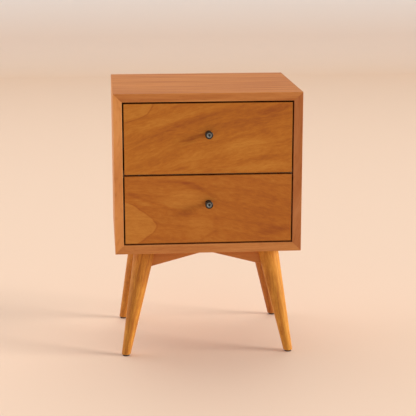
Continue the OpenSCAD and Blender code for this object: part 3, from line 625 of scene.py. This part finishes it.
def carve(piece, cutter):
    """Takes the cutter's shape out of a piece, and throws the cutter away."""
    only(piece)
    cut = piece.modifiers.new("carve", "BOOLEAN")
    cut.operation, cut.solver, cut.object = "DIFFERENCE", "EXACT", cutter
    bpy.ops.object.modifier_apply(modifier=cut.name)
    bpy.data.objects.remove(cutter)

# %% Ease the edges of a piece
SHARP = radians(20)


def runs_along(edge, axis):
    """Whether an edge runs along an axis, 0 for x, 1 for y or 2 for z, or nearly so."""
    start, end = (v.co for v in edge.verts)
    return abs((end - start).normalized()[axis]) > 0.9


def ease(piece, width_of, segments=2):
    """Rounds each edge to the width that width_of gives for it, in millimetres.

    The new faces are marked with an attribute, "edge", which the finishes read to show wear.
    """
    only(piece)
    shape = bmesh.new()
    shape.from_mesh(piece.data)
    shape.normal_update()
    widths = [
        width_of(e) if e.is_manifold and e.calc_face_angle(0) > SHARP else 0
        for e in shape.edges
    ]
    shape.free()
    widest = max(widths)
    weight = piece.data.attributes.new("bevel_weight_edge", "FLOAT", "EDGE")
    weight.data.foreach_set("value", [w / widest for w in widths])
    piece.data.materials.clear()
    piece.data.materials.append(None)     # the board
    piece.data.materials.append(None)     # its eased edges
    bevel = piece.modifiers.new("ease", "BEVEL")
    bevel.width, bevel.segments, bevel.limit_method = widest * MM, segments, "WEIGHT"
    bevel.material, bevel.use_clamp_overlap = 1, True
    bpy.ops.object.modifier_apply(modifier=bevel.name)
    edge = piece.data.attributes.new("edge", "FLOAT", "FACE")
    edge.data.foreach_set("value", [float(face.material_index) for face in piece.data.polygons])
    for face in piece.data.polygons:
        face.material_index = 0

# %% Smooth a piece, and hand it over
def polish(piece, angle=40):
    """Smooth shading that keeps flat faces flat."""
    only(piece)
    bpy.ops.object.shade_smooth_by_angle(angle=radians(angle))
    flat = piece.modifiers.new("flat", "WEIGHTED_NORMAL")
    flat.mode, flat.keep_sharp = "FACE_AREA", True
    bpy.ops.object.modifier_apply(modifier=flat.name)


replaced = set()


def fit(piece, finish, body, node):
    """Gives a piece its finish, its body, and the CAD node that it stands for."""
    piece.data.materials.clear()
    piece.data.materials.append(finish)
    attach(piece, body)
    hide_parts(node)
    replaced.add(node)
    print(f"{piece.name}: {len(piece.data.polygons)} faces, on {body}")

# %% Make a case board lying flat
EASE, HAIR, WASTE = 0.9, 0.3, 5     # millimetres: long front edges, other edges, wood to saw off
panel_t = top_high.z - top_low.z
front_slope = upper_low.y - top_low.y
back_low, back_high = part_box("back_panel")
print("panel:", round(panel_t, 4), "slope:", round(front_slope, 4))


def case_board(name, length):
    """A board with its outer face up at z = 0, its front edge at y = 0 and mitred ends."""
    depth = case_high.y - case_low.y
    end = length / 2
    waste = WASTE * MM
    piece = block(name, (-end - waste, -waste, -panel_t), (end + waste, depth, 0))
    for side in (-1, 1):
        saw(piece, (side * end, 0, 0), (side, 0, -1))
    saw(piece, (0, 0, 0), (0, -panel_t, -front_slope))
    rebate_z = back_high.z - (case_high.z - panel_t)
    rebate_y = depth - (case_high.y - back_low.y)
    carve(piece, block("rebate", (-1, rebate_y, -1), (1, 1, rebate_z - panel_t)))
    ease(piece, lambda e: EASE if runs_along(e, 0) and middle_of(e).y < rebate_y else HAIR)
    polish(piece)
    return piece

# %% Turn the four case boards into their places
case_w, case_h = case_high.x - case_low.x, case_high.z - case_low.z
case_boards = (
    ("top", case_w, 0, (0, case_low.y, case_high.z), top_wood, "top_panel"),
    ("bottom", case_w, pi, (0, case_low.y, case_low.z), rail_wood, "bottom_panel"),
    ("left_side", case_h, -pi / 2, (case_low.x, case_low.y, case_mid.z), left_wood, "left_side_panel"),
    ("right_side", case_h, pi / 2, (case_high.x, case_low.y, case_mid.z), right_wood,
     "right_side_panel"),
)
for name, length, turn, place, finish, node in case_boards:
    piece = case_board(f"case_{name}", length)
    piece.data.transform(Matrix.Translation(place) @ Matrix.Rotation(turn, 4, "Y"))
    fit(piece, finish, "cabinet", node)

# %% Give the front edge of the top a paler finish, as painted light
top = bpy.data.objects["case_top"]
top.data.materials.append(rail_wood)
# Faces that look forwards get the paler finish, a painted light difference from the top face.
for face in top.data.polygons:
    face.material_index = int(face.normal.y < -0.5)
print("painted_light_band:", sum(face.material_index for face in top.data.polygons), "faces")

# %% [markdown]
# The back is a thin board let into the rebates and held with countersunk screws. Drilling
# it again here would only repeat the CAD model, so its mesh is copied. A CAD mesh comes as
# loose triangles: they are first joined, and flat ones made one face, or an edge would
# have nothing to be eased between.

# %% Copy a CAD board so that its edges can be eased
SAME_POINT, FLAT = 0.005 * MM, radians(0.5)
LONG_EDGE = 0.1     # shorter ones belong to holes and grooves


def copied(name, node):
    """A copy of a CAD node's mesh, its triangles joined into whole faces."""
    piece = bpy.data.objects.new(name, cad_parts[node].data.copy())
    piece.data.name = name
    bpy.context.scene.collection.objects.link(piece)
    with inside(piece, "VERT"):
        bpy.ops.mesh.customdata_custom_splitnormals_clear()
        bpy.ops.mesh.select_all(action="SELECT")
        bpy.ops.mesh.remove_doubles(threshold=SAME_POINT)
        bpy.ops.mesh.dissolve_limited(angle_limit=FLAT)
    return piece

# %% Make the back
BACK_EASE = 0.4     # millimetres
back = copied("case_back", "back_panel")
ease(back, lambda e: BACK_EASE if e.calc_length() > LONG_EDGE else 0)
polish(back)
fit(back, back_wood, "cabinet", "back_panel")

# %% [markdown]
# ## Drawer fronts
#
# A drawer front is a plain board with lightly rounded arrises. The rounding matters: a
# sharp edge has no width to catch light, and a real one shows a thin bright line beside
# the dark gap around it. It could be painted on, but a bevel also works when the drawer is
# open. Each board is sanded a hair smaller than it was sawn, more above and below than at
# its ends, which is how the gaps round it come to be so clear.

# %% Make the drawer fronts
FRONT_EASE = 0.65     # millimetres
sanded = Vector((0.35 * MM, 0, 0.75 * MM))
for drawer, finish in (("upper", upper_wood), ("lower", lower_wood)):
    low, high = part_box(f"{drawer}_drawer_front")
    front = block(f"{drawer}_front", low + sanded, high - sanded)
    ease(front, lambda e: FRONT_EASE, segments=3)
    polish(front)
    fit(front, finish, f"{drawer}_drawer", f"{drawer}_drawer_front")

# %% [markdown]
# ## Pulls
#
# Each drawer has one small turned pull: a collar against the wood, a slim neck that
# flares into the head, a rounded rim, and in the face a shallow dish with a small cup. It
# could be spun from an outline. Here it grows from a disc instead, ring by ring, each ring
# extruded and then resized, because that is how the outline of a turned part is easiest
# to read.

# %% Write down the outline of a pull
quarter = [pi / 2 * i / 8 for i in range(9)]     # the angles of a quarter turn


def pull_outline(head_r, length, collar_r, collar_t, neck_r, head_t, rim_r, lip_r, dish, cup_r, cup):
    """Radius and distance from the wood, from the collar to the middle of the face."""
    hair, soft, step = 0.3 * MM, 0.4 * MM, 0.2 * MM
    cove_r = head_r - neck_r
    neck_l = length - head_t - cove_r
    floor = length - dish - cup
    points = [(collar_r - hair, 0), (collar_r, hair), (collar_r, collar_t - soft),
              (collar_r - soft, collar_t), (neck_r + hair, collar_t),
              (neck_r, collar_t + hair), (neck_r, neck_l - step)]
    points += [(head_r - cove_r * cos(t), neck_l + cove_r * sin(t)) for t in quarter]
    points += [(head_r - rim_r * (1 - cos(t)), length - rim_r * (1 - sin(t))) for t in quarter]
    points += [(lip_r + (cup_r - lip_r) * share, length - dish * depth)
               for share, depth in ((0, 0), (0.06, 0.12), (0.35, 0.5), (0.65, 0.8), (0.93, 0.99))]
    points += [(cup_r, length - dish - step), (cup_r, floor + hair),
               (cup_r - hair, floor), (cup_r * 0.5, floor), (cup_r * 0.1, floor)]
    return points

# %% Turn a pull
SMALL_SIDES = 64     # of a small round piece


def turned(name, outline, place):
    """Grows a round piece from a disc, ring by ring towards -Y, and closes its face."""
    bpy.ops.object.select_all(action="DESELECT")
    radius, start = outline[0]
    bpy.ops.mesh.primitive_circle_add(
        vertices=SMALL_SIDES, radius=radius, fill_type="NGON", rotation=(pi / 2, 0, 0),
        location=place + Vector((0, -start, 0)),
    )
    piece = settle(bpy.context.object, name)
    with inside(piece):
        bpy.ops.mesh.select_all(action="SELECT")
        for reach, out in outline[1:]:
            bpy.ops.mesh.extrude_region_move(
                TRANSFORM_OT_translate={"value": (0, start - out, 0)})
            bpy.ops.transform.resize(
                value=(reach / radius, 1, reach / radius),
                center_override=place + Vector((0, -out, 0)))
            radius, start = reach, out
        bpy.ops.mesh.merge(type="CENTER")
        bpy.ops.mesh.select_all(action="SELECT")
        bpy.ops.mesh.normals_make_consistent(inside=False)
    return piece

# %% Fit the two pulls
LIP_R, CUP_R, DISH = 6.2 * MM, 3 * MM, 0.8 * MM
pull_sizes = dict(collar_r=8.25 * MM, collar_t=2 * MM, neck_r=5.5 * MM, head_t=5.5 * MM,
                  rim_r=2 * MM, lip_r=LIP_R, dish=DISH, cup_r=CUP_R, cup=1 * MM)
for drawer in ("upper", "lower"):
    low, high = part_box(f"{drawer}_knob")
    foot = Vector((0, high.y, (low.z + high.z) / 2))
    outline = pull_outline((high.x - low.x) / 2, high.y - low.y, **pull_sizes)
    pull = turned(f"{drawer}_pull", outline, foot)
    # The ring between the cup and the lip gets a paler colour, a painted reflection of the light that
    # the dish catches.
    dish_glint = pull.data.attributes.new("dish_glint", "FLOAT", "FACE")
    for face in pull.data.polygons:
        out = hypot(face.center.x - foot.x, face.center.z - foot.z)
        shown = face.center.y < low.y + 1 * MM     # the dish, and not the neck behind it
        dish_glint.data[face.index].value = float(shown and CUP_R < out < LIP_R)
    polish(pull, angle=35)
    fit(pull, pull_metal, f"{drawer}_drawer", f"{drawer}_knob")

# %% [markdown]
# ## Legs
#
# A leg is a long cone, leaned outwards both ways and then sawn level, top and bottom.
# Leaning a cone makes its cut ends ovals, which is what a splayed turned leg really
# shows. The leg could be bridged between two ovals, but each would have to be worked out,
# and the saw gets them right by itself. One leg is made, and the other three are its
# mirror images.

# %% Find the centre line of a leg
LEVEL = 0.01 * MM


def section(node, level):
    """Middle and half depth of the flat cut that a leaning cone has at one level."""
    ring = [v.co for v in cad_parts[node].data.vertices if abs(v.co.z - level) < LEVEL]
    low = Vector((min(p.x for p in ring), min(p.y for p in ring), level))
    high = Vector((max(p.x for p in ring), max(p.y for p in ring), level))
    return (low + high) / 2, (high.y - low.y) / 2


leg_low, leg_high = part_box("rear_right_leg")
leg_foot, foot_reach = section("rear_right_leg", leg_low.z)
leg_top, top_reach = section("rear_right_leg", leg_high.z)
leg_way = leg_top - leg_foot
lean_y = cos(atan2(leg_way.y, leg_way.z))
foot_r, top_r = foot_reach * lean_y, top_reach * lean_y
print("leg foot:", [round(v, 4) for v in leg_foot], round(foot_r, 4))
print("leg top:", [round(v, 4) for v in leg_top], round(top_r, 4))

# %% Mirror a piece
def twin(piece, name, flip):
    """A copy with its own mesh, mirrored about the axes given as -1 in flip."""
    copy = piece.copy()
    copy.data = piece.data.copy()
    copy.name = copy.data.name = name
    bpy.context.scene.collection.objects.link(copy)
    turn = Matrix.Diagonal((*flip, 1))
    middle = Matrix.Translation((0, case_mid.y, 0))
    copy.data.transform(middle @ turn @ middle.inverted())
    if turn.determinant() < 0:
        copy.data.flip_normals()
    return copy

# %% Turn a leg
LEG_SIDES, FOOT_EASE = 96, 1.2     # the ease in millimetres


def leg_cone(name, grow=0.0):
    """The leg's cone, longer than the leg by a share at both ends."""
    spare = 0.1
    widening = top_r - foot_r
    bpy.ops.object.select_all(action="DESELECT")
    bpy.ops.mesh.primitive_cone_add(
        vertices=LEG_SIDES, radius1=foot_r - spare * widening + grow,
        radius2=top_r + spare * widening + grow,
        depth=(1 + 2 * spare) * leg_way.length, location=(leg_top + leg_foot) / 2,
        rotation=leg_way.to_track_quat("Z", "Y").to_euler())
    return settle(bpy.context.object, name)


first_leg = leg_cone("leg_rear_right")
saw(first_leg, leg_foot, (0, 0, -1))
saw(first_leg, leg_top, (0, 0, 1))
ease(first_leg, lambda e: FOOT_EASE if middle_of(e).z < leg_low.z + MM else 0, segments=3)
with inside(first_leg):
    bpy.ops.mesh.select_all(action="SELECT")
    bpy.ops.mesh.normals_make_consistent(inside=False)

# %% Stain and fit the four legs
corners = {"front_left": (-1, -1, 1), "front_right": (1, -1, 1),
           "rear_left": (-1, 1, 1), "rear_right": (1, 1, 1)}
stick_cut = dict(grain=2, wander=0.5, figure=0.3, fibres=(4.5, 20), across=3.5, fibre_share=0.95,
                 cloud=16)


def at_corner(place, flip):
    """A place on the first leg, as the same place on another one."""
    return Vector((place.x * flip[0], (place.y - case_mid.y) * flip[1] + case_mid.y, place.z))


for number, (corner, flip) in enumerate(corners.items()):
    leg = first_leg if flip == (1, 1, 1) else twin(first_leg, f"leg_{corner}", flip)
    way = Vector((leg_way.x * flip[0], leg_way.y * flip[1], leg_way.z))
    # Each stick comes from another place in the log.
    off_heart = Vector((0.05, 0.03 + 0.02 * number, 0.06 * number))
    heart = at_corner((leg_foot + leg_top) / 2, flip) + off_heart
    finish = wood(f"leg_wood_{corner}", leg_tones[corner], heart, (0.011, 0.011, 0.6),
                  turn=way.to_track_quat("Z", "Y").to_euler(), **stick_cut)
    polish(leg)
    fit(leg, finish, "cabinet", f"{corner}_leg")

# %% [markdown]
# Under each foot is a nailed plastic glide, so that the nightstand slides without marking
# the floor. It could be left as a dark band on the leg, but it is a piece of its own: a
# low disc, well rounded below, where it slides, and a little above.

# %% Press the glides on
def join(pieces, name):
    """Several pieces as one."""
    only(pieces[0])
    for piece in pieces[1:]:
        piece.select_set(True)
    bpy.ops.object.join()
    pieces[0].name = pieces[0].data.name = name
    return pieces[0]


UNDER_EASE, OVER_EASE, SOLE_IN = 1.0, 0.4, 1.6     # millimetres
glide_low, glide_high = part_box("glides")
glide_t = leg_low.z - glide_low.z
glide_r = glide_high.x - leg_foot.x
glide_mid = Vector((leg_foot.x, leg_foot.y, glide_low.z + glide_t / 2))
discs = []
for corner, flip in corners.items():
    bpy.ops.object.select_all(action="DESELECT")
    bpy.ops.mesh.primitive_cylinder_add(
        vertices=SMALL_SIDES, radius=glide_r, depth=glide_t, location=at_corner(glide_mid, flip))
    disc = settle(bpy.context.object, f"glide_{corner}")
    with inside(disc):
        pick(disc, "faces", lambda f: f.normal.z < -0.9)
        bpy.ops.mesh.inset(thickness=SOLE_IN * MM, depth=0)
    under = glide_low.z + 0.1 * MM
    ease(disc, lambda e: UNDER_EASE if middle_of(e).z < under else OVER_EASE, segments=3)
    discs.append(disc)
glides = join(discs, "foot_glides")
polish(glides)
fit(glides, glide_plastic, "cabinet", "glides")

# %% [markdown]
# ## Aprons
#
# Four aprons join the legs under the case. Each has a low arch: two straight slopes that
# meet in a rounded crown. The arch could be carved with a boolean, but it is simpler to
# divide a plain board along its length and lift the lower corners of each slice to the
# height of the arch. Its ends are then hollowed to the round of the legs, as a joiner
# would scribe them.

# %% Measure the arch
def arch_height(node, start, way, reach):
    """How high an apron's underside lies at a distance from its middle, from its CAD mesh.
    Past the reach, where the legs hide it, it goes on straight."""
    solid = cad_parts[node]

    def under(distance):
        hit, place, _, _ = solid.ray_cast(start + way * distance, Vector((0, 0, 1)))
        return place.z if hit else None

    back = 0.1 * reach
    slope = (under(reach) - under(reach - back)) / back
    return lambda d: under(abs(d)) if abs(d) < reach else under(reach) + slope * (abs(d) - reach)

# %% Shape an apron
SLICES, APRON_EASE = 80, 0.9     # the ease in millimetres
BARE = 0.75     # the share of an apron that no leg hides


def apron(name, node, along):
    """An apron that runs along one axis (0 for x, 1 for y) between the legs."""
    low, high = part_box(node)
    middle = (low + high) / 2
    way = Vector((1, 0, 0)) if along == 0 else Vector((0, 1, 0))
    end = leg_top.x if along == 0 else leg_top.y - case_mid.y
    low[along], high[along] = middle[along] - end, middle[along] + end
    height = arch_height(node, Vector((middle.x, middle.y, -1)), way, BARE * end)
    piece = block(name, low, high)
    with inside(piece, "EDGE"):
        pick(piece, "edges", lambda e: e.calc_length() > end)
        bpy.ops.mesh.subdivide(number_cuts=SLICES - 1)
        shape = bmesh.from_edit_mesh(piece.data)
        for v in shape.verts:
            if v.co.z < low.z + MM:
                v.co.z = height(v.co[along] - middle[along])
        bmesh.update_edit_mesh(piece.data)
    rim = high.z - MM
    ease(piece, lambda e: APRON_EASE if runs_along(e, along) and middle_of(e).z < rim else 0)
    return piece

# %% Scribe the four aprons to the legs
SCRIBE = 0.05 * MM     # how clear of the legs an apron is cut
apron_ends = {
    "front": (0, ("front_left", "front_right")), "rear": (0, ("rear_left", "rear_right")),
    "left": (1, ("front_left", "rear_left")), "right": (1, ("front_right", "rear_right")),
}
for name, (along, ends) in apron_ends.items():
    piece = apron(f"apron_{name}", f"{name}_apron", along)
    for corner in ends:
        cutter = leg_cone("cutter", grow=SCRIBE)
        mirrored = twin(cutter, "mirrored", corners[corner])
        bpy.data.objects.remove(cutter)
        carve(piece, mirrored)
    polish(piece)
    fit(piece, long_apron_wood if along == 0 else side_apron_wood, "cabinet",
        f"{name}_apron")

# %% [markdown]
# ## Drawer boxes
#
# Behind each front is a box of plain pale boards, housed into each other. A drawer box is
# handled every day, so its top edges are rounded over. New boards could be cut from cubes,
# but their grooves and screw holes are in the CAD model already, so the boards are copied
# from it and then rounded.

# %% Round the boards of the boxes
HAND_EASE, BOX_EASE = 1.5, 0.3     # millimetres
for drawer in ("upper", "lower"):
    for board, finish in (("left_side", box_side_wood), ("right_side", box_side_wood),
                          ("front", box_end_wood), ("back", box_end_wood)):
        node = f"{drawer}_box_{board}"
        piece = copied(f"{node}_board", node)
        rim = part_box(node)[1].z - 0.1 * MM
        ease(piece, lambda e: HAND_EASE if middle_of(e).z > rim and e.calc_length() > LONG_EDGE
             else BOX_EASE, segments=3)
        polish(piece)
        fit(piece, finish, f"{drawer}_drawer", node)

# %% [markdown]
# ## Parts that keep their CAD shape
#
# Slides, screws, dowels and blocks have the right shape already. They could be modelled
# again, but nothing about them would get better, so they keep their CAD meshes and only
# get a real finish in place of the plain one.

# %% Finish the CAD parts that stay
finishes = {
    "mitre_splines": box_side_wood, "divider_rail": box_end_wood, "rail_dowels": box_end_wood,
    "corner_blocks": box_end_wood, "apron_dowels": box_end_wood, "drawer_bumpers": clear_rubber,
    "upper_box_bottom": bottom_wood, "lower_box_bottom": bottom_wood,
}
for node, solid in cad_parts.items():
    if node in replaced:
        continue
    if node in finishes:
        finish = finishes[node]
    elif node.endswith(("member", "cages")):
        finish = slide_metal
    else:
        finish = screw_metal
    for slot in solid.material_slots:
        slot.material = finish
    print("kept:", node, "in", finish.name)

# %% [markdown]
# ## Last look
#
# The bounds of the dressed nightstand, without the backdrop, are measured.

# %% Measure the dressed nightstand
low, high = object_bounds()
